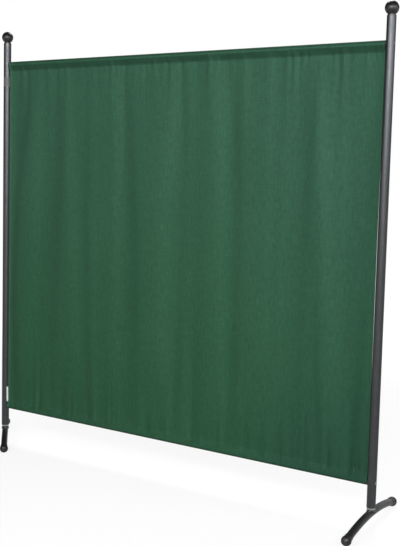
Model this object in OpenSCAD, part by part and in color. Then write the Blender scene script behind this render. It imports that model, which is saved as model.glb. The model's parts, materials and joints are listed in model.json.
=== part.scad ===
// Garden privacy screen: a cloth panel sewn round two rails, which are screwed between two tube posts.
// Each post drops over the spigot of a bent tube foot, and the foot can be turned on it.
// Millimetres, +Z up, +X along the panel, the front towards -Y. The origin is on the floor, at the
// centre of the space that the screen takes up with its feet turned as the two angles below say.

/* [Screen] */
// Height from the floor to the top of the ball finials
total_h = 1780; // [1200:10:2200]
// Distance between the axes of the two posts
post_spacing = 1785; // [900:5:2400]

/* [Posts] */
// Outer diameter of a post
post_d = 31.8; // [26:0.1:42]
// Wall of a post
post_wall = 1.2; // [0.8:0.1:2.5]
// Rounding on the rim of a post
post_rim_r = 0.5; // [0.1:0.1:1]

/* [Ball finials] */
// Diameter of the ball
ball_d = 48; // [44:1:70]
// Height of the waist that shows between the ball and the post
finial_waist_h = 6.5; // [1.5:0.1:12]
// How far the waist stands in from the outside of the post
finial_waist_in = 2.5; // [0.5:0.1:5]
// Thickness of the flange that lies on the post's rim
finial_flange_h = 1; // [0.6:0.1:3]
// Length of the plug inside the post
finial_plug_l = 26; // [12:1:60]
// Wall of the hollow plug
finial_plug_wall = 2.4; // [1.2:0.1:4]
// Play between the plug and the post
finial_plug_play = 0.1; // [0.05:0.05:0.5]

/* [Rails] */
// Outer diameter of a rail
rail_d = 19; // [14:0.5:26]
// Wall of a rail
rail_wall = 1; // [0.8:0.1:2]
// From the upper end of a post down to the axis of the top rail
top_rail_drop = 90.5; // [40:0.5:300]
// From the lower end of a post up to the axis of the bottom rail
bottom_rail_rise = 87.5; // [60:0.5:300]
// Length of the threaded insert in each end of a rail
insert_l = 28; // [22:1:60]

/* [Rail screws] */
// Diameter of a rail screw
screw_d = 6; // [4:0.5:8]
// Diameter of the countersunk head
screw_head_d = 11; // [9:0.5:15]
// Length of a screw, from the face of its head
screw_l = 50; // [38:1:70]
// Depth to which the screw has pulled in the post's wall at the top rail
top_dimple_depth = 2.4; // [1.5:0.1:5]
// Depth to which the screw has pulled in the post's wall at the bottom rail
bottom_dimple_depth = 4.5; // [1.5:0.1:6]
// Play of a screw in the holes of a post
screw_play = 0.3; // [0.1:0.1:0.8]
// Width of the cross recess in a screw's head
recess_w = 1.1; // [0.8:0.1:2]
// Length of the cross recess
recess_l = 5.6; // [3:0.1:8]
// Depth of the cross recess
recess_depth = 1.6; // [0.8:0.1:3]

/* [Cloth] */
// Gap between the left edge of the cloth and the post
cloth_left_gap = 4; // [1:0.1:30]
// Gap between the right edge of the cloth and the post
cloth_right_gap = 1.2; // [1:0.1:30]
// Thickness of the panel
cloth_t = 2.4; // [1:0.2:5]
// Thickness of the cloth round a rail
sleeve_t = 1.2; // [0.6:0.1:2.5]
// Height of a sleeve, from the cloth's edge to its seam
sleeve_h = 37; // [30:1:80]
// Play of the sleeve round its rail
sleeve_play = 0.4; // [0.2:0.1:3]
// Height of the seam below the sleeve's hollow
seam_h = 5; // [3:0.5:12]

/* [Feet] */
// Turn of the left foot away from square to the panel
left_foot_turn = 44.5; // [-90:0.5:90]
// Turn of the right foot away from square to the panel
right_foot_turn = 6.5; // [-90:0.5:90]
// Outer diameter of the bent tube
bow_d = 26; // [20:0.5:32]
// Wall of the bent tube
bow_wall = 1.5; // [1:0.1:2.5]
// From the post's axis to the centre of a cap
foot_reach = 237.5; // [160:2.5:400]
// Height of the bow's crown above its ends
bow_rise = 25.5; // [10:0.5:80]
// Bare length of the spigot between the crown and the post
spigot_show = 7; // [5:0.5:60]
// Wall of the spigot
spigot_wall = 1.2; // [0.8:0.1:3]
// Running clearance between the spigot and the post, on the radius
spigot_play = 0.1; // [0.05:0.01:0.3]
// Gap between the top of the spigot and the pressed screw seat that stops it
spigot_stop_gap = 0.5; // [0.3:0.1:10]

/* [Foot caps] */
// Wall of the cap's ball, outside the bent tube
cap_wall = 4.5; // [2:0.5:10]
// Height of the flat under the ball
cap_flat_h = 1; // [0.4:0.1:3]
// Length of the collar, from the centre of the ball
cap_collar_l = 26; // [16:1:60]
// Wall of the collar
cap_collar_wall = 1.3; // [0.8:0.1:3]
// Depth of the bent tube's end short of the centre of the ball
cap_socket_short = 5; // [2:0.5:10]

/* [Hidden] */
$fn = 64;

seat_gap = 0.05; // gap between pieces that are fastened together
through = 2;     // how far a cut runs past what it cuts
graze = 0.98;    // how near to its round a side of a sleeve runs
seam_open = 0.2; // width of the hollow at the top of the seam
left = -1;
right = 1;
front = 1;
rear = -1;

steel_grey = "#43464a";
bare_steel = "#b9bcc0";
black_plastic = "#26282a";
green_cloth = "#2f5f49";

// Radii
post_r = post_d / 2;
bore_r = post_r - post_wall;
ball_r = ball_d / 2;
rail_r = rail_d / 2;
screw_r = screw_d / 2;
screw_head_r = screw_head_d / 2;
hole_r = screw_r + screw_play;
bow_r = bow_d / 2;
spigot_r = bore_r - spigot_play;
cap_r = bow_r + cap_wall;

// A bow is an arc through the centres of its two caps
cap_z = cap_r - cap_flat_h;
crown_z = cap_z + bow_rise;
arc_r = (foot_reach * foot_reach + bow_rise * bow_rise) / (2 * bow_rise);
arc_half_angle = asin(foot_reach / arc_r);

// Heights up a post
post_bottom_z = crown_z + bow_r + spigot_show;
ball_z = total_h - ball_r;
ball_foot_z = ball_z - sqrt(ball_r * ball_r - post_r * post_r);
post_top_z = ball_foot_z - finial_waist_h;
top_rail_z = post_top_z - top_rail_drop;
bottom_rail_z = post_bottom_z + bottom_rail_rise;

// The screw seats: a cone at 45 degrees, pressed in round each screw's hole
seat_skin = post_wall * sqrt(2);
bottom_seat_r = hole_r + bottom_dimple_depth + seat_skin - post_wall;
spigot_top_z = bottom_rail_z - bottom_seat_r - spigot_stop_gap;
spigot_bottom_z = crown_z + bow_r / 4;

// The cloth
sleeve_bore_r = rail_r + sleeve_play;
sleeve_r = sleeve_bore_r + sleeve_t;
seam_drop = sleeve_h - sleeve_r;
top_seam_z = top_rail_z - seam_drop;
bottom_seam_z = bottom_rail_z + seam_drop;

// The origin is at the centre of the floor space, which the turned feet make wider at one end
function overhang(turn) = max(ball_r, abs(sin(turn)) * foot_reach + cap_r);
floor_shift = (overhang(left_foot_turn) - overhang(right_foot_turn)) / 2;
panel_x = floor_shift;
left_x = panel_x - post_spacing / 2;
right_x = panel_x + post_spacing / 2;
function post_x(side) = side == left ? left_x : right_x;
cloth_left_x = left_x + post_r + cloth_left_gap;
cloth_w = right_x - post_r - cloth_right_gap - cloth_left_x;

// ---------------------------------------------------------------- shared shapes

module tube(d, wall, l) {
    difference() {
        cylinder(d = d, h = l);
        translate([0, 0, -through]) cylinder(d = d - 2 * wall, h = l + 2 * through);
    }
}

// A tube standing on z = 0, with its outer rims rounded
module rimmed_tube(d, wall, l, rim) {
    r = d / 2;
    rotate_extrude() {
        translate([r - wall, 0]) square([wall - rim, l]);
        translate([r - wall, rim]) square([wall, l - 2 * rim]);
        for (z = [rim, l - rim])
            translate([r - rim, z]) circle(r = rim, $fn = 24);
    }
}

// Turns a shape that points up so that it points out of a post's outer flank
module outward(side) {
    rotate([0, side * 90, 0]) children();
}

// The whole height of a post as a solid, for what is shaped to sit against it
module post_round(gap) {
    translate([0, 0, post_bottom_z]) cylinder(r = post_r + gap, h = post_top_z - post_bottom_z);
}

// ---------------------------------------------------------------- posts

// The wall that a screw has pressed in, behind its seat
module pressed_wall(side, depth) {
    bury_r = post_r - post_wall / 2;
    start = post_r - depth - post_wall;
    start_r = hole_r + seat_skin - post_wall;
    l = depth + post_wall;
    intersection() {
        outward(side) translate([0, 0, start]) cylinder(h = l, r1 = start_r, r2 = start_r + l);
        translate([0, 0, -post_r]) cylinder(r = bury_r, h = post_d);
    }
}

// The seat itself, with the hole that runs on through both walls
module seat_cut(side, depth) {
    l = depth + through;
    outward(side) {
        translate([0, 0, post_r - depth]) cylinder(h = l, r1 = hole_r, r2 = hole_r + l);
        translate([0, 0, -post_r - through]) cylinder(r = hole_r, h = post_d + 2 * through);
    }
}

module post(side) {
    seats = [[top_rail_z, top_dimple_depth], [bottom_rail_z, bottom_dimple_depth]];
    color(steel_grey)
        translate([post_x(side), 0, 0])
            difference() {
                union() {
                    translate([0, 0, post_bottom_z])
                        rimmed_tube(post_d, post_wall, post_top_z - post_bottom_z, post_rim_r);
                    for (seat = seats)
                        translate([0, 0, seat[0]]) pressed_wall(side, seat[1]);
                }
                for (seat = seats)
                    translate([0, 0, seat[0]]) seat_cut(side, seat[1]);
            }
}

// ---------------------------------------------------------------- ball finials

module finial(side) {
    plug_r = bore_r - finial_plug_play;
    flange_r = post_r - post_rim_r;
    waist_r = post_r - finial_waist_in;
    color(black_plastic)
        translate([post_x(side), 0, 0])
            difference() {
                union() {
                    translate([0, 0, ball_z]) sphere(r = ball_r);
                    translate([0, 0, post_top_z + finial_flange_h])
                        cylinder(r = waist_r, h = ball_z - post_top_z - finial_flange_h);
                    translate([0, 0, post_top_z]) cylinder(r = flange_r, h = finial_flange_h);
                    translate([0, 0, post_top_z - finial_plug_l])
                        cylinder(r = plug_r, h = finial_plug_l + finial_flange_h);
                }
                translate([0, 0, post_top_z - finial_plug_l - through])
                    cylinder(r = plug_r - finial_plug_wall, h = finial_plug_l + through);
            }
}

// ---------------------------------------------------------------- rails, inserts and screws

// Cuts whatever runs between the posts to the round of both of them
module between_posts() {
    difference() {
        children();
        for (side = [left, right])
            translate([post_x(side), 0, 0]) post_round(seat_gap);
    }
}

module rail(z) {
    color(steel_grey)
        between_posts()
            translate([left_x, 0, z]) rotate([0, 90, 0]) tube(rail_d, rail_wall, post_spacing);
}

// A threaded plug, pressed into a rail's end and cut to the round of the post with it
module insert(side, z) {
    color(bare_steel)
        between_posts()
            translate([post_x(side), 0, z])
                outward(-side)
                    difference() {
                        cylinder(r = rail_r - rail_wall - seat_gap, h = post_r + insert_l);
                        translate([0, 0, -through])
                            cylinder(r = screw_r + seat_gap, h = post_r + insert_l + 2 * through);
                    }
}

module screw(side, z, dimple_depth) {
    cone_l = screw_head_r - screw_r;
    face = post_r - dimple_depth + screw_head_r - hole_r + seat_gap;
    color(bare_steel)
        translate([post_x(side), 0, z])
            outward(side)
                difference() {
                    union() {
                        translate([0, 0, face - cone_l])
                            cylinder(h = cone_l, r1 = screw_r, r2 = screw_head_r);
                        translate([0, 0, face - screw_l]) cylinder(r = screw_r, h = screw_l - cone_l / 2);
                    }
                    for (turn = [0, 90])
                        rotate([0, 0, turn])
                            translate([-recess_l / 2, -recess_w / 2, face - recess_depth])
                                cube([recess_l, recess_w, recess_depth + through]);
                }
}

// ---------------------------------------------------------------- cloth

// Where a line from p runs into a circle of radius r about the origin, almost grazing it, towards +X
function touch(r, p) =
    let (
        inner_r = r * graze,
        a = atan2(p[1], p[0]) + acos(inner_r / norm(p))
    )
    [inner_r * cos(a), inner_r * sin(a)];

// A wedge between the round and a point below it, as wide as the point's own width at its foot
module wedge(r, drop, half_t) {
    t = touch(r, [half_t, -drop]);
    polygon([t, [half_t, -drop], [-half_t, -drop], [-t[0], t[1]]]);
}

// Draws a flat shape out along the whole panel, and past each end by "over"
module along_panel(over = 0) {
    translate([cloth_left_x - over, 0, 0])
        rotate([90, 0, 90])
            linear_extrude(height = cloth_w + 2 * over) children();
}

// The cloth lies round the rail and closes to a flat seam below it
module sleeve(z, flip) {
    color(green_cloth)
        translate([0, 0, z])
            mirror([0, 0, flip])
                difference() {
                    union() {
                        along_panel() circle(r = sleeve_r);
                        along_panel() wedge(sleeve_r, seam_drop, cloth_t / 2);
                    }
                    along_panel(through) circle(r = sleeve_bore_r);
                    along_panel(through) wedge(sleeve_bore_r, seam_drop - seam_h, seam_open / 2);
                }
}

module cloth_panel() {
    color(green_cloth)
        translate([cloth_left_x, -cloth_t / 2, bottom_seam_z])
            cube([cloth_w, cloth_t, top_seam_z - bottom_seam_z]);
}

// ---------------------------------------------------------------- feet

// Places a foot made along +X under its post, and turns it
module foot_place(side) {
    turn = side == left ? left_foot_turn : right_foot_turn;
    translate([post_x(side), 0, 0]) rotate([0, 0, turn - 90]) children();
}

// Sweeps a flat shape along the bow, between two angles from its crown
module along_bow(from, to) {
    translate([0, 0, crown_z - arc_r])
        rotate([90, 0, 0])
            rotate_extrude(angle = to - from, start = 90 - to, $fn = 360)
                translate([arc_r, 0]) children();
}

function arc_angle(length) = length / arc_r * 180 / PI;
bow_end_angle = arc_half_angle - arc_angle(cap_socket_short);

module bow(side) {
    color(steel_grey)
        foot_place(side)
            along_bow(-bow_end_angle, bow_end_angle)
                difference() {
                    circle(r = bow_r);
                    circle(r = bow_r - bow_wall);
                }
}

// A straight tube, cut over the bow's crown like a saddle
module spigot(side) {
    saddle_angle = arc_angle(2 * spigot_r);
    color(bare_steel)
        foot_place(side)
            difference() {
                translate([0, 0, spigot_bottom_z])
                    rimmed_tube(2 * spigot_r, spigot_wall, spigot_top_z - spigot_bottom_z, post_rim_r);
                along_bow(-saddle_angle, saddle_angle) circle(r = bow_r + seat_gap);
            }
}

// A ball with a collar, pushed over the bow's end and flat where it stands
module cap(side, leg) {
    collar_r = bow_r + cap_collar_wall;
    socket_r = bow_r + seat_gap;
    socket_end = bow_end_angle + arc_angle(seat_gap);
    socket_start = arc_half_angle - arc_angle(cap_collar_l + through);
    color(black_plastic)
        foot_place(side)
            mirror([leg == front ? 0 : 1, 0, 0])
                difference() {
                    translate([foot_reach, 0, cap_z]) {
                        sphere(r = cap_r);
                        rotate([0, arc_half_angle - 90, 0])
                            cylinder(r1 = collar_r + cap_collar_wall, r2 = collar_r, h = cap_collar_l);
                    }
                    along_bow(socket_start, socket_end) circle(r = socket_r);
                    translate([foot_reach, 0, -cap_r]) cylinder(r = 2 * cap_r, h = cap_r);
                }
}

// ---------------------------------------------------------------- the screen

post(left);  // left_post
post(right);  // right_post
finial(left);  // left_finial
finial(right);  // right_finial
rail(top_rail_z);  // top_rail
rail(bottom_rail_z);  // bottom_rail
insert(left, top_rail_z);  // top_left_insert
insert(right, top_rail_z);  // top_right_insert
insert(left, bottom_rail_z);  // bottom_left_insert
insert(right, bottom_rail_z);  // bottom_right_insert
screw(left, top_rail_z, top_dimple_depth);  // top_left_screw
screw(right, top_rail_z, top_dimple_depth);  // top_right_screw
screw(left, bottom_rail_z, bottom_dimple_depth);  // bottom_left_screw
screw(right, bottom_rail_z, bottom_dimple_depth);  // bottom_right_screw
cloth_panel();
sleeve(top_rail_z, 0);  // top_sleeve
sleeve(bottom_rail_z, 1);  // bottom_sleeve
bow(left);  // left_bow
spigot(left);  // left_spigot
cap(left, front);  // left_front_cap
cap(left, rear);  // left_rear_cap
bow(right);  // right_bow
spigot(right);  // right_spigot
cap(right, front);  // right_front_cap
cap(right, rear);  // right_rear_cap
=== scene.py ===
# Garden privacy screen: its cloth, stitching, tape tab, welds and finishes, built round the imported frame.
# Metres, +Z up, the front towards -Y.
import json
import math

import bmesh
import bpy
import numpy as np
from mathutils import Matrix, Vector


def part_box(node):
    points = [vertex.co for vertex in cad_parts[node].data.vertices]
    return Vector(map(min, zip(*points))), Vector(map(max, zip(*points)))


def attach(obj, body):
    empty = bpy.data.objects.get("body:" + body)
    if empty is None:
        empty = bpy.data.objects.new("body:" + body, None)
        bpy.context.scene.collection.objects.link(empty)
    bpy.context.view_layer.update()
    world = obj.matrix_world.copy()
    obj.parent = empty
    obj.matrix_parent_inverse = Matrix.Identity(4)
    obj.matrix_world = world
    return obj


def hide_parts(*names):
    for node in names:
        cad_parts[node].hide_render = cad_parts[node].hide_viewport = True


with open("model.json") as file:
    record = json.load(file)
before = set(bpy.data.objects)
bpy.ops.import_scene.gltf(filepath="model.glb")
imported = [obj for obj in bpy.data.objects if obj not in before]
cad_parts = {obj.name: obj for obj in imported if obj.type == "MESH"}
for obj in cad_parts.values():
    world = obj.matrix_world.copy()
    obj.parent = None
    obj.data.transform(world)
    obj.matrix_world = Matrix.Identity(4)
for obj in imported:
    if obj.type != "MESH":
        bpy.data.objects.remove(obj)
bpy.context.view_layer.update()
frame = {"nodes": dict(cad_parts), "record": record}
nodes = frame["nodes"]

MM = 0.001


# ------------------------------------------------------------------ places taken from the frame


def middle(node):
    """The middle of a node's box."""
    low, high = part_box(node)
    return (low + high) / 2


left_axis = middle("left_post")
right_axis = middle("right_post")
screen_x = (left_axis.x + right_axis.x) / 2

panel_low, panel_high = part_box("cloth_panel")
cloth_w = panel_high.x - panel_low.x
cloth_x = (panel_low.x + panel_high.x) / 2
top_seam_z = panel_high.z
bottom_seam_z = panel_low.z
top_rail_z = middle("top_rail").z
bottom_rail_z = middle("bottom_rail").z
sleeve_low, sleeve_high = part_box("top_sleeve")
sleeve_r = (sleeve_high.y - sleeve_low.y) / 2
bow_top_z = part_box("left_bow")[1].z


# ------------------------------------------------------------------ camera

LENS_MM = 67.157
SENSOR_MM = 36.0
CAMERA_ANGLES = (34.9638, 5.6424, 1.4216)     # degrees: turned to the left, tipped down, leaning
CAMERA_PLACE = (2.3567, -3.1612, 1.2005)      # from the floor below the screen's middle

camera_data = bpy.data.cameras.new("camera")
camera_data.lens = LENS_MM
camera_data.sensor_width = SENSOR_MM
camera_data.sensor_fit = "AUTO"
camera = bpy.data.objects.new("camera", camera_data)
bpy.context.scene.collection.objects.link(camera)
yaw, pitch, roll = (math.radians(angle) for angle in CAMERA_ANGLES)
forward = Vector((-math.sin(yaw) * math.cos(pitch), math.cos(yaw) * math.cos(pitch), -math.sin(pitch)))
level_right = Vector((math.cos(yaw), math.sin(yaw), 0))
level_up = level_right.cross(forward)
right_way = math.cos(roll) * level_right + math.sin(roll) * level_up
up_way = math.cos(roll) * level_up - math.sin(roll) * level_right
turn = Matrix((right_way, up_way, -forward)).transposed().to_4x4()
camera.matrix_world = Matrix.Translation((screen_x + CAMERA_PLACE[0], *CAMERA_PLACE[1:])) @ turn
bpy.context.scene.camera = camera


# ------------------------------------------------------------------ node building


def add(tree, kind, inputs=None, **settings):
    """A shader node with its settings, its inputs set to values or joined to sockets."""
    node = tree.nodes.new(kind)
    for key, value in settings.items():
        setattr(node, key, value)
    for key, value in (inputs or {}).items():
        socket = node.inputs[key]
        if isinstance(value, bpy.types.NodeSocket):
            tree.links.new(value, socket)
        else:
            socket.default_value = value
    return node


def maths(tree, operation, a, b=0.0, clamp=False):
    """One sum on one or two values."""
    return add(tree, "ShaderNodeMath", {0: a, 1: b}, operation=operation, use_clamp=clamp).outputs[0]


def ramp(tree, value, low, high, to_low=0.0, to_high=1.0):
    """Turns a value into a smooth mask between two of its sizes."""
    node = add(
        tree,
        "ShaderNodeMapRange",
        {"Value": value, "From Min": low, "From Max": high, "To Min": to_low, "To Max": to_high},
        interpolation_type="SMOOTHSTEP",
    )
    return node.outputs["Result"]


def more(tree, start, mask, amount, clamp=False):
    """A value raised by an amount where a mask is on."""
    return maths(tree, "ADD", start, maths(tree, "MULTIPLY", mask, amount), clamp=clamp)


def swing(tree, noise_value, amount):
    """A noise turned into a swing about nothing."""
    return maths(tree, "MULTIPLY", maths(tree, "SUBTRACT", noise_value, 0.5), amount)


def noise(tree, place, scale, detail):
    """A noise from 0 to 1 over a place."""
    return add(tree, "ShaderNodeTexNoise", {"Vector": place, "Scale": scale, "Detail": detail}).outputs[0]


def stretched(tree, place, scale):
    """A place scaled along each axis, so that what is laid on it is drawn out."""
    return add(tree, "ShaderNodeMapping", {"Vector": place, "Scale": scale}).outputs[0]


def mix_colour(tree, mask, a, b, blend="MIX"):
    """Colour a, and colour b where a mask is on."""
    inputs = {0: mask, 6: a, 7: b}
    return add(tree, "ShaderNodeMix", inputs, data_type="RGBA", blend_type=blend).outputs[2]


def toned(tree, colour, tone):
    """A colour times a tone or another colour."""
    return mix_colour(tree, 1.0, colour, tone, "MULTIPLY")


def shade(tree, mask, colour, by):
    """A colour times another where a mask is on."""
    return mix_colour(tree, mask, colour, toned(tree, colour, rgba(*by)))


def seen_in_gloss(tree, path):
    """On for what metal and glass show."""
    glossy, through = path.outputs["Is Glossy Ray"], path.outputs["Is Transmission Ray"]
    return maths(tree, "ADD", glossy, through, clamp=True)


def new_group(name, inputs, outputs):
    """An empty shader group with float, vector or colour sockets."""
    kinds = {"float": "NodeSocketFloat", "vector": "NodeSocketVector", "colour": "NodeSocketColor"}
    group = bpy.data.node_groups.new(name, "ShaderNodeTree")
    for label, kind, default in inputs:
        socket = group.interface.new_socket(label, in_out="INPUT", socket_type=kinds[kind])
        if default is not None:
            socket.default_value = default
    for label, kind in outputs:
        group.interface.new_socket(label, in_out="OUTPUT", socket_type=kinds[kind])
    return group, group.nodes.new("NodeGroupInput"), group.nodes.new("NodeGroupOutput")


def use(tree, group, inputs):
    """A shared effect placed in a material."""
    return add(tree, "ShaderNodeGroup", inputs, node_tree=group)


def rgba(r, g, b):
    """A solid colour, in linear light."""
    return (r, g, b, 1.0)


# ------------------------------------------------------------------ shared effects


def make_coat_peel():
    """The fine ripple and faint mottling of a baked powder coat."""
    group, enter, leave = new_group(
        "coat_peel",
        [("Vector", "vector", None), ("Size", "float", 1.2 * MM), ("Speckle", "float", 0.1)],
        [("Height", "float"), ("Tone", "float")],
    )
    place = enter.outputs["Vector"]
    flecks_per_ripple = 3.1
    scale = maths(group, "DIVIDE", 1.0, enter.outputs["Size"])
    peel = noise(group, place, scale, 2.0)
    fleck = noise(group, place, maths(group, "MULTIPLY", scale, flecks_per_ripple), 1.0)
    broad = noise(group, place, 14.0, 3.0)
    fine = swing(group, fleck, enter.outputs["Speckle"])
    wide = swing(group, broad, enter.outputs["Speckle"])
    group.links.new(peel, leave.inputs["Height"])
    group.links.new(maths(group, "ADD", 1.0, maths(group, "ADD", fine, wide)), leave.inputs["Tone"])
    return group


def make_scratches():
    """Sparse short scratches and rubbed patches."""
    group, enter, leave = new_group(
        "scratches",
        [("Vector", "vector", None), ("Amount", "float", 0.3)],
        [("Mask", "float"), ("Rub", "float")],
    )
    amount = enter.outputs["Amount"]
    upright = stretched(group, enter.outputs["Vector"], (1.0, 1.0, 0.14))
    cracks = {"Vector": upright, "Scale": 420.0}
    thin = add(group, "ShaderNodeTexVoronoi", cracks, feature="DISTANCE_TO_EDGE")
    line = ramp(group, thin.outputs["Distance"], 0.0, 0.035, 1.0, 0.0)
    patch = ramp(group, noise(group, enter.outputs["Vector"], 31.0, 4.0), 0.58, 0.72)
    rub = ramp(group, noise(group, upright, 60.0, 5.0), 0.45, 0.8)
    marks = maths(group, "MULTIPLY", line, patch)
    group.links.new(maths(group, "MULTIPLY", marks, amount, clamp=True), leave.inputs["Mask"])
    group.links.new(maths(group, "MULTIPLY", rub, amount, clamp=True), leave.inputs["Rub"])
    return group


def make_ground_dust():
    """Dust and splash that thin out above the ground."""
    group, enter, leave = new_group(
        "ground_dust",
        [("Vector", "vector", None), ("Reach", "float", 0.25), ("Amount", "float", 0.3)],
        [("Mask", "float")],
    )
    split = add(group, "ShaderNodeSeparateXYZ", {0: enter.outputs["Vector"]})
    height = maths(group, "DIVIDE", split.outputs["Z"], enter.outputs["Reach"])
    fade = ramp(group, height, 0.0, 1.0, 1.0, 0.0)
    patchy = ramp(group, noise(group, enter.outputs["Vector"], 55.0, 6.0), 0.38, 0.7)
    dust = maths(group, "MULTIPLY", fade, patchy)
    dust = maths(group, "MULTIPLY", dust, enter.outputs["Amount"], clamp=True)
    group.links.new(dust, leave.inputs["Mask"])
    return group


def make_plain_weave():
    """Crossing threads of a plain weave, laid along a cloth's own flat map in metres."""
    group, enter, leave = new_group(
        "plain_weave",
        [("Vector", "vector", None), ("Thread", "float", 0.6 * MM)],
        [("Height", "float"), ("Tone", "float")],
    )
    split = add(group, "ShaderNodeSeparateXYZ", {0: enter.outputs["Vector"]})
    wander = swing(group, noise(group, enter.outputs["Vector"], 260.0, 2.0), 0.9)
    waves = []
    for axis in ("X", "Y"):
        turns = maths(group, "DIVIDE", split.outputs[axis], enter.outputs["Thread"])
        phase = maths(group, "ADD", maths(group, "MULTIPLY", turns, math.pi), wander)
        waves.append(maths(group, "SINE", phase))
    over = maths(group, "MULTIPLY", waves[0], waves[1])
    warp = maths(group, "ABSOLUTE", waves[0])
    weft = maths(group, "ABSOLUTE", waves[1])
    which = ramp(group, over, -0.25, 0.25)
    threads = add(group, "ShaderNodeMix", {0: which, 2: warp, 3: weft}).outputs[0]
    group.links.new(threads, leave.inputs["Height"])
    tone = more(group, 0.9, threads, 0.14)
    # thick and thin yarns, as long streaks up and across the cloth, fine ones and bundles
    for stretch, scale, amount in (
        ((1.0, 0.03, 1.0), 500.0, 0.20),
        ((1.0, 0.10, 1.0), 170.0, 0.40),
        ((0.12, 1.0, 1.0), 190.0, 0.30),
        ((1.0, 0.5, 1.0), 95.0, 0.44),
    ):
        yarn = noise(group, stretched(group, enter.outputs["Vector"], stretch), scale, 2.0)
        tone = maths(group, "ADD", tone, swing(group, yarn, amount))
    group.links.new(tone, leave.inputs["Tone"])
    return group


coat_peel = make_coat_peel()
scratches = make_scratches()
ground_dust = make_ground_dust()
plain_weave = make_plain_weave()


# ------------------------------------------------------------------ finishes


def start_material(name):
    """A material with its shader, and a place socket on Object coordinates."""
    material = bpy.data.materials.new(name)
    material.use_nodes = True
    tree = material.node_tree
    tree.nodes.clear()
    shader = add(tree, "ShaderNodeBsdfPrincipled")
    out = add(tree, "ShaderNodeOutputMaterial")
    tree.links.new(shader.outputs[0], out.inputs["Surface"])
    place = add(tree, "ShaderNodeTexCoord").outputs["Object"]
    return material, tree, shader, place


def bump(tree, shader, height, depth, strength):
    """Raises the surface by a height, over a depth in metres."""
    node = add(tree, "ShaderNodeBump", {"Height": height, "Distance": depth, "Strength": strength})
    tree.links.new(node.outputs[0], shader.inputs["Normal"])


PAINT_ROUGH, PAINT_METAL = 0.36, 0.9
DULLED_LOW_Z, DULLED_HIGH_Z = 1.546, 1.589    # a dulled band high on the left post
DULLED_FADE = 5 * MM                          # it fades out over this at both ends


def make_grey_paint():
    """Dark grey metallic powder coat, half gloss, with a few scratches and dust near the ground."""
    material, tree, shader, place = start_material("grey_paint")
    peel = use(tree, coat_peel, {"Vector": place, "Size": 1.6 * MM, "Speckle": 0.22})
    marks = use(tree, scratches, {"Vector": place, "Amount": 0.5})
    dust = use(tree, ground_dust, {"Vector": place, "Reach": 0.22, "Amount": 0.18})
    # something was once tied round the left post, high up, and has dulled it
    split = add(tree, "ShaderNodeSeparateXYZ", {0: place})
    height = split.outputs["Z"]
    above = ramp(tree, height, DULLED_LOW_Z, DULLED_LOW_Z + DULLED_FADE)
    below = ramp(tree, height, DULLED_HIGH_Z - DULLED_FADE, DULLED_HIGH_Z, 1.0, 0.0)
    on_left = maths(tree, "LESS_THAN", split.outputs["X"], screen_x)
    band = maths(tree, "MULTIPLY", maths(tree, "MULTIPLY", above, below), on_left)
    dulled = maths(tree, "MULTIPLY", band, ramp(tree, peel.outputs["Height"], 0.30, 0.55, 0.55, 1.0))
    coat, bared = rgba(0.0740, 0.0770, 0.0810), rgba(0.30, 0.30, 0.31)
    dull_coat, dusty = rgba(0.120, 0.120, 0.125), rgba(0.16, 0.15, 0.13)
    colour = toned(tree, coat, peel.outputs["Tone"])
    colour = mix_colour(tree, marks.outputs["Mask"], colour, bared)
    colour = mix_colour(tree, dulled, colour, dull_coat)
    colour = mix_colour(tree, dust.outputs["Mask"], colour, dusty)
    tree.links.new(colour, shader.inputs["Base Color"])
    rough = more(tree, PAINT_ROUGH, marks.outputs["Rub"], 0.18)
    rough = more(tree, rough, dulled, 0.22)
    rough = more(tree, rough, dust.outputs["Mask"], 0.35, clamp=True)
    tree.links.new(rough, shader.inputs["Roughness"])
    metal = maths(tree, "SUBTRACT", PAINT_METAL, maths(tree, "MULTIPLY", dulled, 0.75))
    tree.links.new(metal, shader.inputs["Metallic"])
    bump(tree, shader, peel.outputs["Height"], 0.03 * MM, 0.5)
    return material


ZINC_ROUGH = 0.3
OVERSPRAY = (1.8 * MM, 3.0 * MM)    # above the bow's top, where the paint starts to thin out and ends


def make_zinc_plate():
    """Bright zinc plate, drawn along its length, with coat overspray at the foot of a spigot."""
    material, tree, shader, place = start_material("zinc_plate")
    drawn = noise(tree, stretched(tree, place, (1.0, 1.0, 0.05)), 900.0, 3.0)
    marks = use(tree, scratches, {"Vector": place, "Amount": 0.8})
    split = add(tree, "ShaderNodeSeparateXYZ", {0: place})
    wavy = more(tree, split.outputs["Z"], noise(tree, place, 300.0, 3.0), 1.6 * MM)
    sprayed = ramp(tree, wavy, bow_top_z + OVERSPRAY[0], bow_top_z + OVERSPRAY[1], 1.0, 0.0)
    zinc, scored, paint = rgba(0.46, 0.47, 0.48), rgba(0.35, 0.35, 0.36), rgba(0.09, 0.092, 0.1)
    colour = toned(tree, zinc, more(tree, 0.86, drawn, 0.28))
    colour = mix_colour(tree, marks.outputs["Mask"], colour, scored)
    tree.links.new(mix_colour(tree, sprayed, colour, paint), shader.inputs["Base Color"])
    metal = maths(tree, "SUBTRACT", 1.0, maths(tree, "MULTIPLY", sprayed, 0.45))
    tree.links.new(metal, shader.inputs["Metallic"])
    tree.links.new(more(tree, ZINC_ROUGH, drawn, 0.15), shader.inputs["Roughness"])
    bump(tree, shader, drawn, 0.02 * MM, 0.4)
    return material


PLASTIC_ROUGH = 0.37


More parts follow.
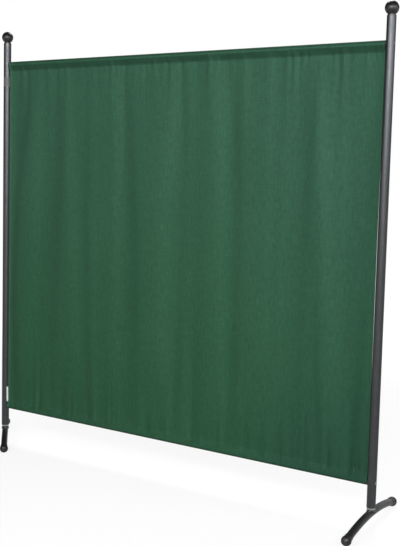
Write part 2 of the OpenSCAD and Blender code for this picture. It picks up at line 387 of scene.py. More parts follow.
def make_black_plastic():
    """Moulded plastic, half gloss, with a fine spark texture and handling marks."""
    material, tree, shader, place = start_material("black_plastic")
    peel = use(tree, coat_peel, {"Vector": place, "Size": 0.6 * MM, "Speckle": 0.35})
    marks = use(tree, scratches, {"Vector": place, "Amount": 0.6})
    dust = use(tree, ground_dust, {"Vector": place, "Reach": 0.05, "Amount": 0.5})
    black, scuffed, dusty = rgba(0.0075, 0.0075, 0.0088), rgba(0.09, 0.09, 0.09), rgba(0.10, 0.09, 0.075)
    colour = toned(tree, black, peel.outputs["Tone"])
    colour = mix_colour(tree, marks.outputs["Mask"], colour, scuffed)
    colour = mix_colour(tree, dust.outputs["Mask"], colour, dusty)
    tree.links.new(colour, shader.inputs["Base Color"])
    rough = more(tree, PLASTIC_ROUGH, marks.outputs["Rub"], 0.15)
    rough = more(tree, rough, dust.outputs["Mask"], 0.4, clamp=True)
    tree.links.new(rough, shader.inputs["Roughness"])
    bump(tree, shader, peel.outputs["Height"], 0.04 * MM, 0.6)
    return material


RAIL_SHADE = (8 * MM, 2 * MM)       # below a rail's axis, where its shade is full and where it ends
HEM_LIGHT = (7 * MM, 13 * MM)       # in from the left edge, where the hem's light is full and where it ends
PAINTED_SHADE_RIGHT_X = (0.15, 0.87)              # right of the middle, where the painted shade starts to make the cloth darker and bluer and where it is full
PAINTED_SHADE_CORNER_X = (0.10, 0.86)             # right of the middle, where the painted shade of the darker corner starts and is full
PAINTED_SHADE_CORNER_Z = (0.17, 0.60)             # where the painted shade of the darker corner is full and where it ends


def make_green_cloth():
    """Dark green woven polyester, laid along the cloth's own flat map."""
    material, tree, shader, place = start_material("green_cloth")
    flat_map = add(tree, "ShaderNodeUVMap", uv_map="flat").outputs[0]
    weave = use(tree, plain_weave, {"Vector": flat_map, "Thread": 0.6 * MM})
    broad = ramp(tree, noise(tree, flat_map, 3.2, 3.0), 0.3, 0.7, 0.0, 0.12)
    split = add(tree, "ShaderNodeSeparateXYZ", {0: place})
    right, height = split.outputs["X"], split.outputs["Z"]
    # painted light: the cloth is painted a little lighter and bluer towards the top seam, for the sheen of
    # the light from above, and darker and greener towards the bottom
    painted_low_shade, painted_high_sheen = rgba(0.0213, 0.0896, 0.0415), rgba(0.0255, 0.0913, 0.0510)
    worn, lit_hem = rgba(0.0420, 0.1340, 0.0760), rgba(0.0430, 0.1400, 0.0780)
    colour = mix_colour(tree, ramp(tree, height, bottom_seam_z, top_seam_z), painted_low_shade, painted_high_sheen)
    colour = mix_colour(tree, broad, colour, worn)
    # painted shade: the doubled cloth of the sleeves is painted darker, for the light it lets through less,
    # most of all under the top rail where the cloth faces down; a thin line at the rail's round stays
    # lighter, as painted light where the light catches it
    full, gone = RAIL_SHADE
    painted_shade_under_rail = ramp(tree, height, top_rail_z - full, top_rail_z - gone, 1.0, 0.0)
    painted_shade_under_rail = maths(tree, "MULTIPLY", painted_shade_under_rail, ramp(tree, height, top_seam_z - 5 * MM, top_seam_z - 1 * MM))
    painted_shade_over_rail = ramp(tree, height, top_rail_z - 1 * MM, top_rail_z + 3 * MM)
    colour = shade(tree, maths(tree, "MAXIMUM", painted_shade_under_rail, painted_shade_over_rail), colour, (0.56, 0.65, 0.62))
    # painted shade: the bottom sleeve is painted a little darker below its seam
    low = ramp(tree, height, bottom_seam_z - 2 * MM, bottom_seam_z + 1 * MM, 1.0, 0.0)
    colour = shade(tree, low, colour, (0.92, 0.93, 0.96))
    # painted shade: a dark line under the bottom rail, where the cloth turns under and faces down
    edge = ramp(tree, height, bottom_rail_z - full, bottom_rail_z - gone, 1.0, 0.0)
    colour = shade(tree, edge, colour, (0.62, 0.52, 0.52))
    # the folded side hem at the left stands out into the light
    left_x = cloth_x - cloth_w / 2
    hem = ramp(tree, right, left_x + HEM_LIGHT[0], left_x + HEM_LIGHT[1], 0.7, 0.0)
    colour = mix_colour(tree, hem, colour, lit_hem)
    # painted shade: the cloth is painted darker and a little bluer towards the right, and darker again in
    # the lower right corner, where the post shades it
    painted_shade_right = ramp(tree, right, cloth_x + PAINTED_SHADE_RIGHT_X[0], cloth_x + PAINTED_SHADE_RIGHT_X[1])
    colour = shade(tree, painted_shade_right, colour, (0.90, 0.92, 0.99))
    painted_shade_corner = ramp(tree, right, cloth_x + PAINTED_SHADE_CORNER_X[0], cloth_x + PAINTED_SHADE_CORNER_X[1])
    painted_shade_corner = maths(tree, "MULTIPLY", painted_shade_corner, ramp(tree, height, *PAINTED_SHADE_CORNER_Z, 1.0, 0.0))
    colour = shade(tree, painted_shade_corner, colour, (0.76, 0.78, 0.86))
    tree.links.new(toned(tree, colour, weave.outputs["Tone"]), shader.inputs["Base Color"])
    shader.inputs["Roughness"].default_value = 0.72
    shader.inputs["Specular IOR Level"].default_value = 0.2
    shader.inputs["Sheen Weight"].default_value = 0.06
    shader.inputs["Sheen Roughness"].default_value = 0.45
    bump(tree, shader, weave.outputs["Height"], 0.12 * MM, 0.5)
    return material


def make_thread():
    """Sewing thread: two twisted strands a shade darker than the cloth."""
    material, tree, shader, place = start_material("green_thread")
    strands = {"Vector": place, "Scale": 900.0, "Distortion": 1.5}
    twist = add(tree, "ShaderNodeTexWave", strands, bands_direction="DIAGONAL")
    hollow, crown = rgba(0.018, 0.060, 0.038), rgba(0.040, 0.105, 0.070)
    colour = mix_colour(tree, twist.outputs["Fac"], hollow, crown)
    tree.links.new(colour, shader.inputs["Base Color"])
    shader.inputs["Roughness"].default_value = 0.55
    shader.inputs["Sheen Weight"].default_value = 0.2
    bump(tree, shader, twist.outputs["Fac"], 0.08 * MM, 0.6)
    return material


def make_white_tape():
    """White satin tape, blank."""
    material, tree, shader, place = start_material("white_tape")
    flat_map = add(tree, "ShaderNodeUVMap", uv_map="flat").outputs[0]
    weave = use(tree, plain_weave, {"Vector": flat_map, "Thread": 0.3 * MM})
    white = rgba(0.88, 0.88, 0.87)
    tree.links.new(toned(tree, white, weave.outputs["Tone"]), shader.inputs["Base Color"])
    shader.inputs["Roughness"].default_value = 0.5
    shader.inputs["Sheen Weight"].default_value = 0.2
    bump(tree, shader, weave.outputs["Height"], 0.05 * MM, 0.4)
    return material


finish_of_slot = {
    "grey_paint": make_grey_paint(),
    "zinc_plate": make_zinc_plate(),
    "black_plastic": make_black_plastic(),
    "green_cloth": make_green_cloth(),
}
green_thread = make_thread()
white_tape = make_white_tape()
for entry in frame["record"]["subparts"]:
    mesh = nodes[entry["node"]].data
    mesh.materials.clear()
    mesh.materials.append(finish_of_slot[entry["material_slot"]])


# ------------------------------------------------------------------ pieces


def finish_piece(name, bm, material, body):
    """Turns a bmesh into a smooth piece in place, riding on a body."""
    mesh = bpy.data.meshes.new(name)
    bm.to_mesh(mesh)
    bm.free()
    mesh.shade_smooth()
    mesh.materials.append(material)
    piece = bpy.data.objects.new(name, mesh)
    bpy.context.scene.collection.objects.link(piece)
    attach(piece, body)
    return piece


def thicken(piece, thickness):
    """Gives a sheet its thickness, half of it to each side."""
    wall = piece.modifiers.new("thickness", "SOLIDIFY")
    wall.thickness = thickness
    wall.offset = 0.0


# ------------------------------------------------------------------ the cloth's shape

CLOTH_T = 0.55 * MM
LAYER = 0.95 * MM      # from one layer of cloth to the next where it is folded over
HEM_W = 19 * MM        # width of the folded side hems
FLAP_L = 7 * MM        # cloth that shows below a sleeve's stitching, at the back
FRONT_Y = -0.6 * MM    # the front layer, from the panel's middle plane
FOLD_R = LAYER / 2     # a side edge turns back on this radius
HEM_BEND = math.pi * FOLD_R
HEM_EASE = (0.02, 0.004)      # the stack of layers grows over this, before and past a hem's inner edge
tunnel_r = sleeve_r - 0.35 * MM

# Long upright folds: place at the top, middle and bottom, half width, slope at the top, middle and bottom
LONG_FOLDS = (
    (-0.855, -0.850, -0.850, 0.012, 0.45, 0.08, 0.22),
    (-0.735, -0.830, -0.815, 0.027, -0.34, -0.38, -0.45),
    (-0.705, -0.715, -0.760, 0.040, 0.24, 0.28, 0.10),
    (-0.560, -0.595, -0.625, 0.035, -0.19, -0.28, -0.12),
    (-0.540, -0.500, -0.460, 0.031, 0.24, 0.20, 0.06),
    (-0.435, -0.430, -0.400, 0.023, -0.07, -0.25, -0.16),
    (-0.380, -0.380, -0.375, 0.015, 0.04, 0.08, 0.22),
    (-0.265, -0.265, -0.265, 0.026, 0.40, 0.25, 0.10),
    (-0.235, -0.175, -0.170, 0.036, -0.21, -0.30, -0.20),
    (0.030, -0.028, 0.020, 0.042, 0.32, 0.30, 0.26),
    (0.055, 0.055, 0.040, 0.021, -0.39, -0.10, -0.45),
    (0.130, 0.135, 0.135, 0.038, -0.02, -0.13, -0.16),
    (0.240, 0.240, 0.275, 0.032, 0.49, 0.28, 0.36),
    (0.270, 0.310, 0.285, 0.036, -0.40, -0.22, -0.39),
    (0.435, 0.445, 0.440, 0.022, 0.13, 0.16, 0.10),
    (0.520, 0.505, 0.500, 0.019, 0.13, 0.16, 0.06),
    (0.625, 0.595, 0.580, 0.032, -0.56, -0.22, -0.29),
    (0.640, 0.695, 0.755, 0.032, 0.71, 0.46, 0.65),
    (0.672, 0.650, 0.685, 0.017, -0.24, -0.10, -0.53),
    (0.740, 0.740, 0.745, 0.024, -0.02, 0.22, -0.61),
    (0.865, 0.840, 0.812, 0.030, -0.36, -0.28, -0.39),
)
FOLD_TOP_Z, FOLD_MID_Z, FOLD_LOW_Z = 1.58, 0.90, 0.22
FOLD_FADE = 4.0        # a fold's step dies away over this many of its half widths
FOLD_TURN = 1.13       # how sharply the cloth turns within a half width
FOLD_SPARE = 0.05      # its curve runs on this far past both ends, and stays as it is from there


def through_three(z, top, mid, low):
    """A smooth curve through a value at the top, at the middle and at the bottom."""
    a = (z - FOLD_MID_Z) * (z - FOLD_LOW_Z) / ((FOLD_TOP_Z - FOLD_MID_Z) * (FOLD_TOP_Z - FOLD_LOW_Z))
    b = (z - FOLD_TOP_Z) * (z - FOLD_LOW_Z) / ((FOLD_MID_Z - FOLD_TOP_Z) * (FOLD_MID_Z - FOLD_LOW_Z))
    c = (z - FOLD_TOP_Z) * (z - FOLD_MID_Z) / ((FOLD_LOW_Z - FOLD_TOP_Z) * (FOLD_LOW_Z - FOLD_MID_Z))
    return top * a + mid * b + low * c


def long_folds(x, z):
    """How far the panel stands back from flat, at places across and up it."""
    depth = np.zeros_like(x)
    z_held = np.clip(z, FOLD_LOW_Z - FOLD_SPARE, FOLD_TOP_Z + FOLD_SPARE)
    for top, mid, low, half, s_top, s_mid, s_low in LONG_FOLDS:
        centre = through_three(z_held, top, mid, low)
        slope = through_three(z_held, s_top, s_mid, s_low)
        across = FOLD_TURN * (x - centre)
        step = np.tanh(across / half) - np.tanh(across / (FOLD_FADE * half))
        depth += slope * half * step / FOLD_TURN
    return depth


def smooth_step(value, low, high):
    """A soft rise from 0 to 1 between two sizes of a value."""
    t = np.clip((value - low) / (high - low), 0, 1)
    return t * t * (3 - 2 * t)


GATHER_X = 0.87             # gathers lie as far out as this on both sides
GATHER_LEAST_W = 0.006      # half width of the narrowest
GATHER_SPREAD = 0.8         # a gather is wider by this share where its reach ends
gather_draw = np.random.default_rng(11)


def draw_gathers(reaches, most_w, most_lift):
    """One small gather for each reach: its centre, half width, lift and reach."""
    return [
        (
            gather_draw.uniform(-GATHER_X, GATHER_X),
            gather_draw.uniform(GATHER_LEAST_W, most_w),
            gather_draw.uniform(-most_lift, most_lift),
            reach,
        )
        for reach in reaches
    ]


# both seams draw the cloth up a little: long gathers and short ones at the top, one kind at the bottom
TOP_GATHERS = draw_gathers(gather_draw.uniform(0.10, 0.25, 46), 0.013, 0.40)
TOP_GATHERS += draw_gathers(gather_draw.uniform(0.04, 0.13, 74), 0.010, 0.58)
LOW_GATHERS = draw_gathers(gather_draw.uniform(0.05, 0.22, 76), 0.013, 0.56)

PLEATS = (0.821, 0.8385)          # two short pleats that end in the bottom seam
PLEAT_L = 27 * MM
PLEAT_D = 7.0 * MM
PLEAT_HALF_W = 0.0045
PLEAT_SLANT = 0.28
PLEAT_RISE = (-5 * MM, 4 * MM)    # from the bottom seam up, where a pleat starts and is full
PLEAT_FADE = 12 * MM              # it fades out over this at its top
PLEAT_ROOM = (0.014, 0.010)       # left of the first and right of the second, where the mesh stays fine


def gathers(x, z):
    """Depth of the small gathers and pleats along both seams."""
    depth = np.zeros_like(x)
    for gather_list, away in ((TOP_GATHERS, top_seam_z - z), (LOW_GATHERS, z - bottom_seam_z)):
        away = np.abs(away)
        for centre, half, lift, reach in gather_list:
            spread = half * (1 + GATHER_SPREAD * away / reach)
            depth += lift * half * np.exp(-((x - centre) / spread) ** 2) * np.exp(-away / reach)
    up = z - bottom_seam_z
    shut = smooth_step(up, *PLEAT_RISE) * smooth_step(PLEAT_L - up, 0.0, PLEAT_FADE)
    for centre in PLEATS:
        line = centre + PLEAT_SLANT * (PLEAT_L / 2 - up)
        depth += PLEAT_D * shut * np.exp(-((x - line) / PLEAT_HALF_W) ** 2)
    return depth


SEAM_KEEPS = 0.30             # share of a fold's depth that is left at a seam
SEAM_HOLD = (-0.02, 0.22)     # in from a seam, where the cloth is held most and where it hangs free
EDGE_CUP = (0.0022, 0.0010)   # the left and the right edge curl to the front by this
EDGE_CUP_W = 0.022            # over this width
DRAWN_IN = (0.0010, 0.0016)   # the left and the right edge draw in by this, halfway between the rails


def sheet_depth(x, z):
    """Depth of the front layer at x from the panel's middle and at height z."""
    edge = cloth_w / 2
    at_left = long_folds(np.full_like(x, -edge), z)
    at_right = long_folds(np.full_like(x, edge), z)
    across = (x + edge) / (2 * edge)
    ripple = long_folds(x, z) - at_left * (1 - across) - at_right * across
    at_top = smooth_step(top_rail_z - z, 0.0, top_rail_z - top_seam_z)
    at_bottom = smooth_step(z - bottom_rail_z, 0.0, bottom_seam_z - bottom_rail_z)
    near_seam = np.minimum(top_seam_z - z, z - bottom_seam_z)
    held = SEAM_KEEPS + (1 - SEAM_KEEPS) * smooth_step(near_seam, *SEAM_HOLD)
    cup = np.where(x < 0, *EDGE_CUP) * smooth_step(np.abs(x), edge - EDGE_CUP_W, edge)
    return (ripple * held + gathers(x, z) - cup) * at_top * at_bottom


def side_draw(x, z):
    """How far each side edge draws in between the rails."""
    t = np.clip((z - bottom_rail_z) / (top_rail_z - bottom_rail_z), 0, 1)
    return np.where(x < 0, *DRAWN_IN) * np.sin(np.pi * t) ** 2


# The path of the cloth up its length: from the flap behind the top sleeve, over the top rail, down the
# front, round the bottom rail and up to the flap behind the bottom sleeve
drop = top_rail_z - top_seam_z
leave_angle = math.asin(tunnel_r / drop)      # below level, where the cloth leaves a rail's round
straight_l = drop * math.cos(leave_angle)
round_l = tunnel_r * (math.pi + 2 * leave_angle)
panel_l = top_seam_z - bottom_seam_z
sleeve_way = [straight_l, round_l, straight_l]
cuts = np.cumsum([0, FLAP_L, *sleeve_way, panel_l, *sleeve_way, FLAP_L])
flat_l = float(cuts[-1])
flat_w = cloth_w + 2 * HEM_W
half_w = flat_w / 2 - HEM_W


def along_length(s):
    """Point (y, z), outward way (y, z) and which layer, 0 front and 1 back, at a length along the cloth."""
    y, z, out_y, out_z, back = (np.zeros_like(s) for _ in range(5))
    touch_y = tunnel_r * math.cos(leave_angle)
    touch_z = -tunnel_r * math.sin(leave_angle)
    for end, rail_z, way in ((0, top_rail_z, 1.0), (1, bottom_rail_z, -1.0)):
        c = cuts if end == 0 else flat_l - cuts[::-1]
        q = s if end == 0 else flat_l - s
        here = q <= c[1]
        z[here] = rail_z - way * (drop + (c[1] - q[here]))
        out_y[here], back[here] = 1.0, 1.0
        here = (q > c[1]) & (q <= c[2])
        t = (q[here] - c[1]) / straight_l
        y[here] = touch_y * t
        z[here] = rail_z + way * (-drop + (drop + touch_z) * t)
        out_y[here], out_z[here], back[here] = math.cos(leave_angle), -way * math.sin(leave_angle), 1.0
        here = (q > c[2]) & (q <= c[3])
        angle = -leave_angle + (q[here] - c[2]) / tunnel_r
        y[here] = tunnel_r * np.cos(angle)
        z[here] = rail_z + way * tunnel_r * np.sin(angle)
        out_y[here], out_z[here] = np.cos(angle), way * np.sin(angle)
        back[here] = 1 - (q[here] - c[2]) / round_l
        here = (q > c[3]) & (q <= c[4])
        t = (q[here] - c[3]) / straight_l
        y[here] = -touch_y * (1 - t)
        z[here] = rail_z + way * (touch_z - (drop + touch_z) * t)
        out_y[here], out_z[here] = -math.cos(leave_angle), -way * math.sin(leave_angle)
    here = (s > cuts[4]) & (s <= cuts[5])
    z[here] = top_seam_z - (s[here] - cuts[4])
    out_y[here] = -1.0
    return y, z, out_y, out_z, back


def cloth_points(s, t, lift=0.0):
    """Places of the cloth at lengths s and widths t, both on the flat cloth, lifted off its front face."""
    y, z, out_y, out_z, back = along_length(s)
    # widths past a side edge turn back behind the cloth as the hem
    over = np.abs(t) - half_w
    in_hem = np.clip(over - HEM_BEND, 0, None)
    angle = np.clip(over / FOLD_R, 0, np.pi)
    x_abs = np.where(over <= 0, np.abs(t), half_w + FOLD_R * np.sin(angle) - in_hem)
    behind = np.where(over <= 0, 0.0, FOLD_R * (1 - np.cos(angle)))
    x = np.sign(t) * x_abs
    x = x - np.sign(x) * side_draw(x, z) * smooth_step(np.abs(x), 0.0, half_w)
    depth = sheet_depth(x, z)
    # where a flap lies behind the panel, the layers stack, and the hems make the stack thicker
    inner = half_w - HEM_W
    hem_here = smooth_step(x_abs, inner - HEM_EASE[0], inner + HEM_EASE[1])
    stack = LAYER * (1 + 2 * hem_here) * back
    lies = np.clip(back, 0, 1)
    y = y + FRONT_Y * (1 - lies) + (FRONT_Y + stack) * lies
    shift = lift - behind
    return np.stack([cloth_x + x, y + depth + out_y * shift, z + out_z * shift], -1)


def spaced(stops, steps):
    """Evenly spaced values between stops, with the count of steps given for each stretch."""
    parts = [np.linspace(a, b, n, endpoint=False) for a, b, n in zip(stops[:-1], stops[1:], steps)]
    return np.concatenate(parts + [np.array([stops[-1]])])


HEM_STEP = 0.002              # the step at a hem's inner edge takes this much to both sides of it
SEAM_ZONE = 0.06              # rows lie closer together this near a seam
HEM_COLUMNS = [3, 5, 4, 2]    # columns in a hem, in its turned edge, over the hem, and in the step beside it
PANEL_COLUMNS = 412
PLEAT_COLUMNS = [28, 2]       # columns across both pleats, and from there to the right hem's step
SLEEVE_ROWS = [3, 5, 10, 5]   # rows in a flap, up to the rail, round it, and down to the seam
PANEL_ROWS = [8, 28, 8]       # rows near the top seam, between, and near the bottom seam


def build_cloth():
    """One sheet, hemmed at both sides and folded round both rails."""
    inner = half_w - HEM_W
    side_stops = [-half_w - HEM_W, -half_w - HEM_BEND, -half_w, -inner - HEM_STEP, -inner + HEM_STEP]
    pleat_stops = [PLEATS[0] - PLEAT_ROOM[0], PLEATS[1] + PLEAT_ROOM[1]]
    t_stops = side_stops + pleat_stops + [-v for v in reversed(side_stops)]
    t_values = spaced(t_stops, [*HEM_COLUMNS, PANEL_COLUMNS, *PLEAT_COLUMNS, *reversed(HEM_COLUMNS)])
    s_stops = [*cuts[:5], cuts[4] + SEAM_ZONE, cuts[5] - SEAM_ZONE, *cuts[5:]]
    s_values = spaced(s_stops, [*SLEEVE_ROWS, *PANEL_ROWS, *reversed(SLEEVE_ROWS)])
    bm = bmesh.new()
    bmesh.ops.create_grid(bm, x_segments=len(t_values) - 1, y_segments=len(s_values) - 1, size=0.5)
    bm.verts.ensure_lookup_table()
    grid = np.array([v.co[:2] for v in bm.verts])
    column = np.rint((grid[:, 0] + 0.5) * (len(t_values) - 1)).astype(int)
    row = np.rint((grid[:, 1] + 0.5) * (len(s_values) - 1)).astype(int)
    places = cloth_points(s_values[row], t_values[column])
    for vert, place in zip(bm.verts, places):
        vert.co = place
    flat = bm.loops.layers.uv.new("flat")
    for face in bm.faces:
        for loop in face.loops:
            index = loop.vert.index
            loop[flat].uv = (t_values[column[index]], s_values[row[index]])
    bm.normal_update()
    centre = Vector((cloth_x, 0, FOLD_MID_Z))
    middle_face = min(bm.faces, key=lambda face: (face.calc_center_median() - centre).length)
    if middle_face.normal.y > 0:
        bmesh.ops.reverse_faces(bm, faces=bm.faces)
    return bm


cloth = finish_piece("cloth", build_cloth(), finish_of_slot["green_cloth"], "frame")
thicken(cloth, CLOTH_T)
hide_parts("cloth_panel", "top_sleeve", "bottom_sleeve")


# ------------------------------------------------------------------ stitching

STITCH_L = 3.4 * MM
STITCH_GAP = 0.9 * MM
THREAD_R = 0.28 * MM
THREAD_OUT = 0.10 * MM     # the thread's middle, out from the cloth's face


def stitch_row(bm, s_of, t_of, length, lifts):
    """Lays thread along a line on the cloth, on each of the faces that the lifts name."""
    stitch = bpy.data.meshes.new("stitch")
    seed = bmesh.new()
    bmesh.ops.create_icosphere(seed, subdivisions=1, radius=1.0)
    seed.to_mesh(stitch)
    seed.free()
    count = int(length / (STITCH_L + STITCH_GAP))
    middles = (np.arange(count) + 0.5) * length / count
    for lift in lifts:
        starts = cloth_points(s_of(middles - STITCH_L / 2), t_of(middles - STITCH_L / 2), lift)
        ends = cloth_points(s_of(middles + STITCH_L / 2), t_of(middles + STITCH_L / 2), lift)
        for start, end in zip(starts, ends):
            along = Vector(end - start)
            spin = along.to_track_quat("X", "Z").to_matrix().to_4x4()
            size = Matrix.Diagonal((along.length / 2, THREAD_R, THREAD_R, 1.0))
            place = Matrix.Translation((start + end) / 2) @ spin @ size
            stitch.transform(place)
            bm.from_mesh(stitch)
            stitch.transform(place.inverted())
    bpy.data.meshes.remove(stitch)


def constant(value):
    """A line that stays at one length or width of the cloth."""
    return lambda lengths: np.full_like(lengths, value)


def running_from(start):
    """A line that runs on from one length or width of the cloth."""
    return lambda lengths: start + lengths


def build_stitching():
    """The thread of both sleeves' seams and of both side hems."""
    bm = bmesh.new()
    face = CLOTH_T / 2 + THREAD_OUT
    width = cloth_w - 3 * MM
    # a row through both layers of each sleeve, seen on the panel's front and on the flap's back
    for s in (cuts[4], cuts[5], cuts[1], cuts[8]):
        stitch_row(bm, constant(s), running_from(-width / 2), width, [face])
    # a row along each side hem, from sleeve to sleeve
    hem_row = flat_w / 2 - 2 * HEM_W + 2.5 * MM
    down = running_from(cuts[4] + 2 * MM)
    for side in (-1, 1):
        stitch_row(bm, down, constant(side * hem_row), panel_l - 4 * MM, [face, -face - LAYER])
    return bm


stitching = finish_piece("stitching", build_stitching(), green_thread, "frame")


# ------------------------------------------------------------------ blank tape tab at the left hem

TAB_H = 66 * MM
TAB_LOW_Z = 0.1690
TAB_IN_HEM = ((6 * MM, 0.9 * MM), (0.5 * MM, -0.2 * MM))              # right of the cloth's edge, and back
TAB_ROUND_POST = ((17.6 * MM, -4.4 * MM), (14.9 * MM, -7.6 * MM))     # right of the post's axis, and back
TAB_FLUTTER = 0.5 * MM  # at its free end
TAB_SKEW = 0.8 * MM     # the free end is taller by about this
TAB_COLUMNS, TAB_ROWS = 14, 22
TAPE_T = 0.35 * MM


def build_tab():
    """A short tape that stands out of the left hem and lies over the post's flank."""
    bm = bmesh.new()
    bmesh.ops.create_grid(bm, x_segments=TAB_COLUMNS, y_segments=TAB_ROWS, size=0.5)
    bm.verts.ensure_lookup_table()
    route = [Vector((panel_low.x + x, y, 0)) for x, y in TAB_IN_HEM]
    route += [Vector((left_axis.x + x, y, 0)) for x, y in TAB_ROUND_POST]
    for vert in bm.verts:
        u = vert.co.x + 0.5
        v = vert.co.y + 0.5
        spot = u * (len(route) - 1)
        k = min(int(spot), len(route) - 2)
        place = route[k].lerp(route[k + 1], spot - k)
        flutter = TAB_FLUTTER * math.sin(5.0 * v + 1.0) * u * u
        height = TAB_LOW_Z + TAB_H * v + TAB_SKEW * u * (v - 0.4)
        vert.co = place + Vector((flutter * 0.7, -abs(flutter), height))
    bmesh.ops.smooth_vert(bm, verts=bm.verts, factor=0.5, use_axis_x=True, use_axis_y=True)
    flat = bm.loops.layers.uv.new("flat")
    for face in bm.faces:
        for loop in face.loops:
            loop[flat].uv = (loop.vert.co.x, loop.vert.co.z)
    return bm


tab = finish_piece("blank_tape_tab", build_tab(), white_tape, "frame")
thicken(tab, TAPE_T)


# ------------------------------------------------------------------ welds of the feet

BOW_R = 13 * MM         # outside of the bent tube
BEAD_R = 1.7 * MM
BEAD_OUT = 0.3 * MM     # the bead's middle, out from the spigot
BEAD_STEPS = 96
BEAD_SIDES = 10
BEAD_RIPPLES = 24
RIPPLE = 0.10           # share of the bead's radius
spigot_low, spigot_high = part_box("left_spigot")
spigot_r = (spigot_high.x - spigot_low.x) / 2
crown_z = bow_top_z - BOW_R


def build_weld(axis, front_cap, rear_cap):
    """A closed bead round a spigot, down over both sides of the bent tube that it stands on."""
    across = (middle(rear_cap) - middle(front_cap)).cross(Vector((0, 0, 1)))
    across.z = 0
    across.normalize()
    centre = Vector((axis.x, axis.y, 0))
    bm = bmesh.new()
    upright = Matrix.Rotation(math.pi / 2, 4, "X")
    start = Matrix.Translation(centre + Vector((spigot_r + BEAD_OUT, 0, 0))) @ upright
    bmesh.ops.create_circle(bm, segments=BEAD_SIDES, radius=BEAD_R, matrix=start)
    bmesh.ops.spin(
        bm,
        geom=bm.verts[:] + bm.edges[:],
        cent=centre,
        axis=(0, 0, 1),
        angle=2 * math.pi,
        steps=BEAD_STEPS,
        use_merge=True,
    )
    for vert in bm.verts:
        out = Vector((vert.co.x - centre.x, vert.co.y - centre.y, 0))
        off = spigot_r * out.normalized().dot(across)
        saddle = crown_z + math.sqrt(max(BOW_R * BOW_R - off * off, 0))
        ripple = 1 + RIPPLE * math.sin(BEAD_RIPPLES * math.atan2(out.y, out.x))
        middle_out = out.normalized() * (spigot_r + BEAD_OUT)
        place = centre + middle_out + (out - middle_out) * ripple
        vert.co = Vector((place.x, place.y, max(saddle, spigot_low.z) + vert.co.z * ripple))
    bmesh.ops.recalc_face_normals(bm, faces=bm.faces)
    return bm


for side, axis in (("left", left_axis), ("right", right_axis)):
    bead = build_weld(axis, side + "_front_cap", side + "_rear_cap")
    finish_piece(side + "_weld", bead, finish_of_slot["grey_paint"], side + "_foot")


# ------------------------------------------------------------------ floor, backdrop and light


FLOOR_REACH = 60.0
PAPER = 0.20                    # the share of the light that the paper sends back
EYE_NEAR = 0.83                 # its glow for the eye near the feet
EYE_FADE = (1.0, 5.0)           # from the middle, where that glow starts to rise and where it is white
GLOSS_NEAR = 0.45               # its glow in gloss near the feet
GLOSS_MID = 0.38                # and a little further out
GLOSS_NEAR_FADE = (0.9, 2.6)    # from the middle, where the one starts to turn into the other, and has
GLOSS_FAR_FADE = (3.0, 8.0)     # where it starts to rise again and where it is white


def make_floor_paper():
    """Paper that looks white to the eye and in gloss, and keeps a soft shadow near the feet."""
    material = bpy.data.materials.new("floor_paper")
    material.use_nodes = True
    tree = material.node_tree
    tree.nodes.clear()
    place = add(tree, "ShaderNodeTexCoord").outputs["Object"]
    away = add(tree, "ShaderNodeVectorMath", {0: place}, operation="LENGTH").outputs["Value"]
    far = ramp(tree, away, *EYE_FADE)
    plain = add(tree, "ShaderNodeBsdfDiffuse", {"Color": rgba(PAPER, PAPER, PAPER)})
    path = add(tree, "ShaderNodeLightPath")
    to_eye = ramp(tree, far, 0.0, 1.0, EYE_NEAR, 1.0)
    to_eye = maths(tree, "MULTIPLY", path.outputs["Is Camera Ray"], to_eye)
    # painted shade: in gloss the paper glows less near the feet, where it lies in the screen's own shade
    near_gloss = ramp(tree, away, *GLOSS_NEAR_FADE, GLOSS_NEAR, GLOSS_MID)
    far_gloss = ramp(tree, away, *GLOSS_FAR_FADE, GLOSS_MID, 1.0)
    to_gloss = maths(tree, "MAXIMUM", near_gloss, far_gloss)
    to_gloss = maths(tree, "MULTIPLY", seen_in_gloss(tree, path), to_gloss)
    strength = maths(tree, "ADD", to_eye, to_gloss)
    glow = add(tree, "ShaderNodeEmission", {"Color": rgba(1, 1, 1), "Strength": strength})
    both = add(tree, "ShaderNodeAddShader", {0: plain.outputs[0], 1: glow.outputs[0]})
    out = add(tree, "ShaderNodeOutputMaterial")
    tree.links.new(both.outputs[0], out.inputs["Surface"])
    return material


floor_bm = bmesh.new()
bmesh.ops.create_grid(floor_bm, x_segments=1, y_segments=1, size=FLOOR_REACH)
floor_mesh = bpy.data.meshes.new("floor")
floor_bm.to_mesh(floor_mesh)
floor_bm.free()
floor_mesh.materials.append(make_floor_paper())
floor = bpy.data.objects.new("floor", floor_mesh)
bpy.context.scene.collection.objects.link(floor)


ROOM_Z = (0.10, 0.60)           # how far up a ray points where the wall turns into the ceiling
WALL, CEILING = 0.01, 0.05
BACKDROP_Y = (0.88, 0.97)       # how straight back a ray points where the white backdrop starts and is full


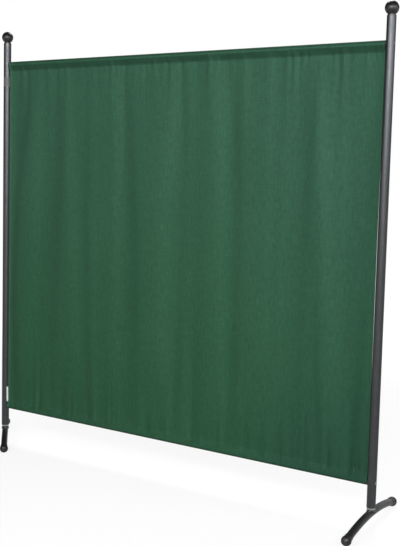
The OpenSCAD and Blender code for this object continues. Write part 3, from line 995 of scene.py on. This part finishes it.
def light_world():
    """White for the eye all round and for gloss behind the screen; elsewhere a dim room, lighter above."""
    world = bpy.data.worlds.new("studio")
    bpy.context.scene.world = world
    world.use_nodes = True
    tree = world.node_tree
    tree.nodes.clear()
    way = add(tree, "ShaderNodeSeparateXYZ", {0: add(tree, "ShaderNodeTexCoord").outputs["Generated"]})
    path = add(tree, "ShaderNodeLightPath")
    room = ramp(tree, way.outputs["Z"], *ROOM_Z, WALL, CEILING)
    behind = ramp(tree, way.outputs["Y"], *BACKDROP_Y)
    backdrop = maths(tree, "MULTIPLY", seen_in_gloss(tree, path), behind)
    white = maths(tree, "MAXIMUM", path.outputs["Is Camera Ray"], backdrop)
    strength = add(tree, "ShaderNodeMix", {0: white, 2: room, 3: 1.0}).outputs[0]
    back = add(tree, "ShaderNodeBackground", {"Color": rgba(1, 1, 1), "Strength": strength})
    out = add(tree, "ShaderNodeOutputWorld")
    tree.links.new(back.outputs[0], out.inputs["Surface"])


SOFTBOX_H = 1.2
SOFTBOX_AIM_Z = 1.3


def add_softbox(name, place, target, width, height, power):
    """A rectangular light at a place, turned towards a target; sizes in metres, power in watts."""
    data = bpy.data.lights.new(name, "AREA")
    data.shape = "RECTANGLE"
    data.size = width
    data.size_y = height
    data.energy = power
    lamp = bpy.data.objects.new(name, data)
    bpy.context.scene.collection.objects.link(lamp)
    way = Vector(target) - Vector(place)
    lamp.matrix_world = Matrix.Translation(place) @ way.to_track_quat("-Z", "Y").to_matrix().to_4x4()


light_world()
# a curved row round the front and the right: place from the screen's middle, width, power
for number, (x, y, z, width, power) in enumerate(
    (
        (-0.9, -4.2, 2.5, 2.0, 45.0),
        (0.8, -4.3, 2.5, 1.8, 42.0),
        (2.2, -3.9, 2.5, 1.8, 97.0),
        (3.4, -2.8, 2.5, 1.8, 56.0),
        (4.2, -1.1, 2.5, 1.8, 44.0),
        (2.5, 0.5, 2.1, 0.9, 6.5),
    )
):
    aim = (screen_x, 0.0, SOFTBOX_AIM_Z)
    add_softbox("softbox_%d" % (number + 1), (screen_x + x, y, z), aim, width, SOFTBOX_H, power)
# one more, high up behind the screen
add_softbox("back_softbox", (screen_x - 1.2, 3.0, 5.0), (screen_x, 0.0, 0.9), 2.0, 1.5, 150.0)

bpy.context.scene.view_settings.view_transform = "Standard"
